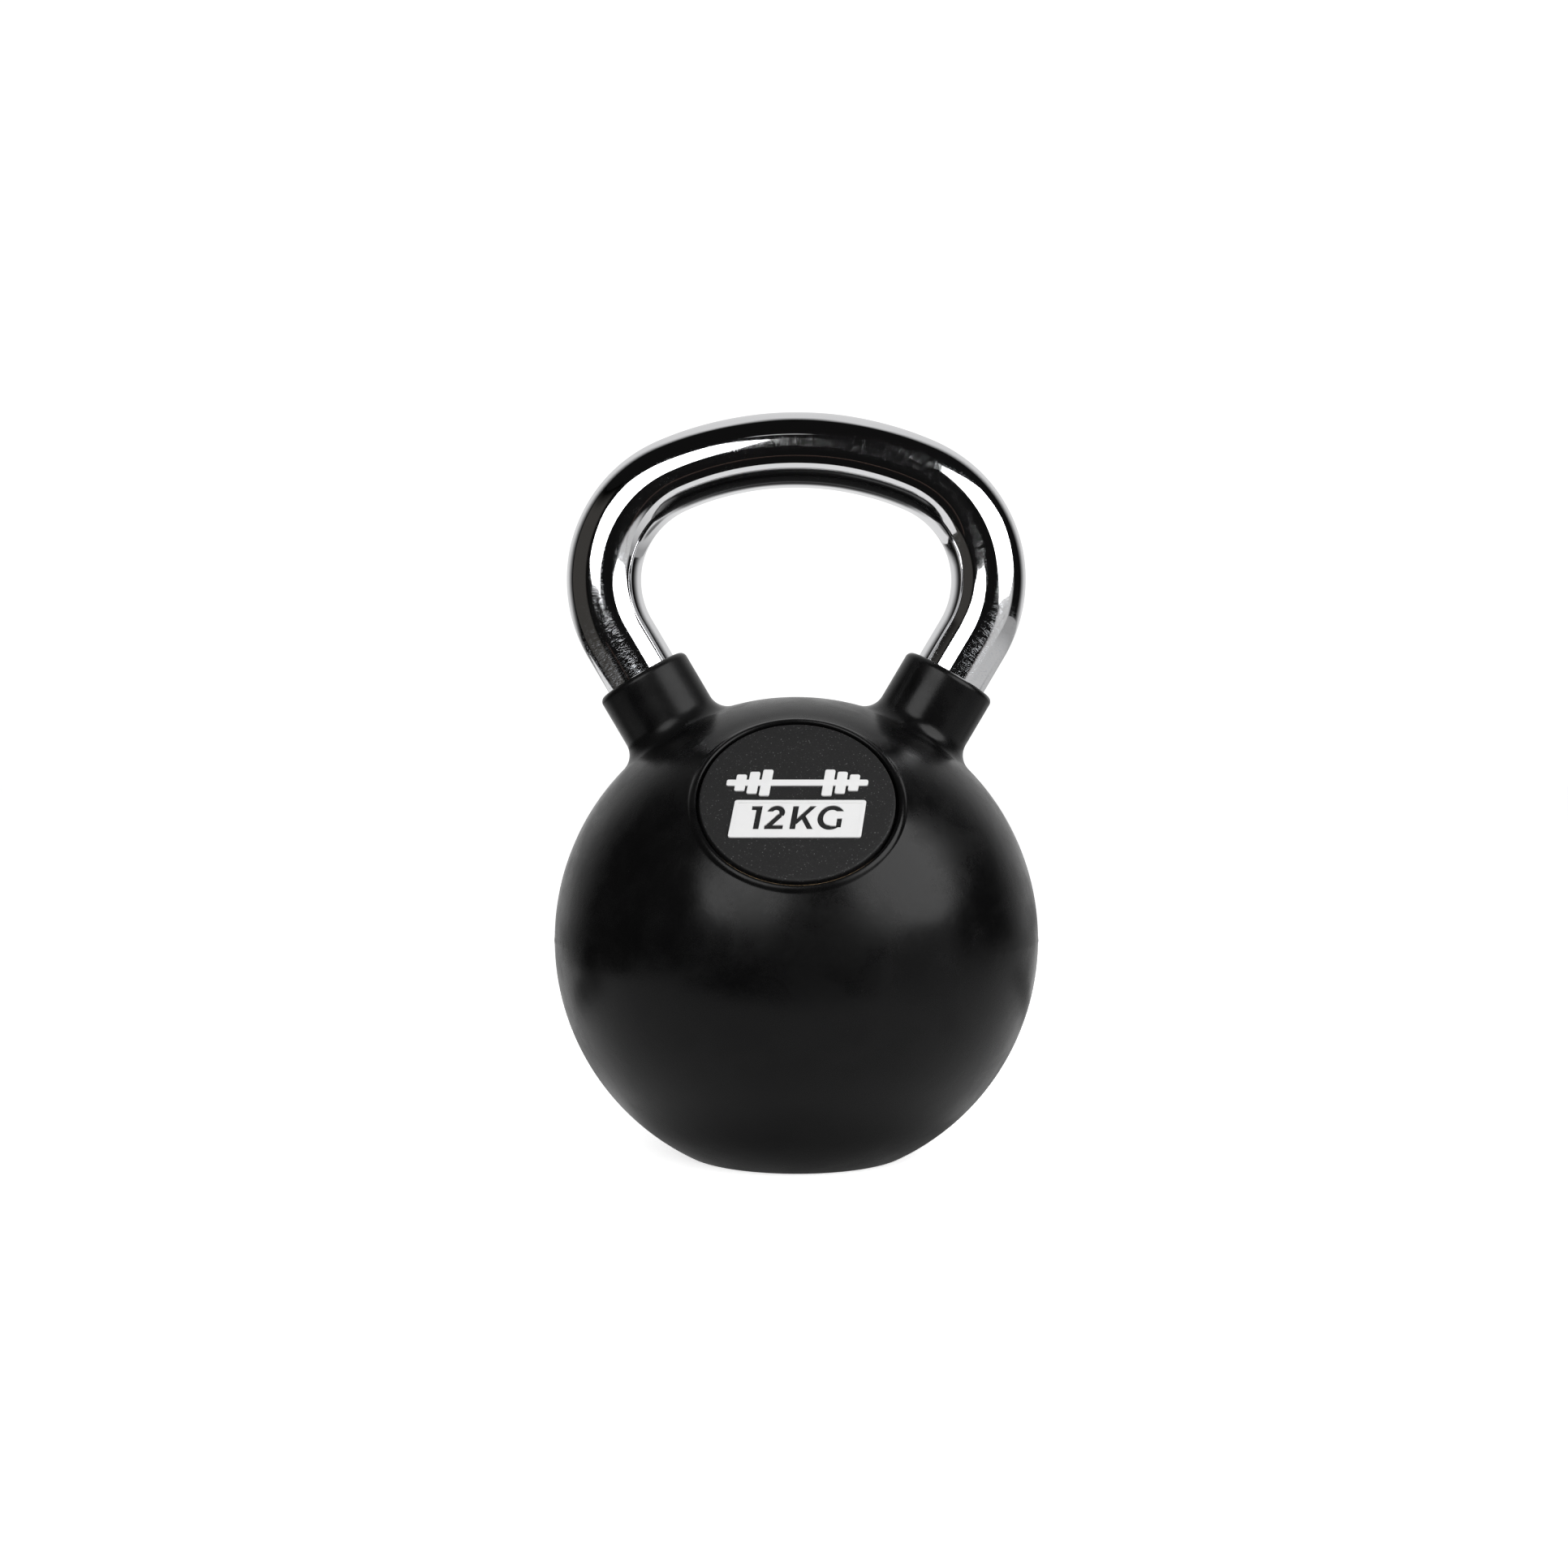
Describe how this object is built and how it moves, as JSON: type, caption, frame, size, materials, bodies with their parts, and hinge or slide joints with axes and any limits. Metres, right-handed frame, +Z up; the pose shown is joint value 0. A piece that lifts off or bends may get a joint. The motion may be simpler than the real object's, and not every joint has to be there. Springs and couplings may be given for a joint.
{
  "type": "kettlebell",
  "caption": "Ball-shaped exercise weight: cast iron inside moulded black rubber, with a chromed steel loop handle, a round front badge and a flat base.",
  "frame": {"origin": "centre of the flat base, on the floor", "axes": "+Z up through the handle, +X to the right as one faces the badge, -Y out through the badge side"},
  "size_m": [0.152, 0.152, 0.2332],
  "materials": {
    "cast_iron_core": "as cast",
    "handle_chrome": "polished, lightly scratched",
    "weld_steel": "as welded",
    "black_rubber": "semi-gloss, moulded",
    "adhesive_film": "cured glue",
    "badge_black": "matt, fine grain",
    "badge_white": "satin"
  },
  "bodies": {
    "root": {"iron_core": "cast_iron_core", "handle_bar": "handle_chrome", "left_handle_weld": "weld_steel", "right_handle_weld": "weld_steel", "rubber_cover": "black_rubber", "badge_adhesive": "adhesive_film", "badge_disc": "badge_black", "weight_plate": "badge_white", "barbell_emblem": "badge_white"}
  },
  "joints": []
}
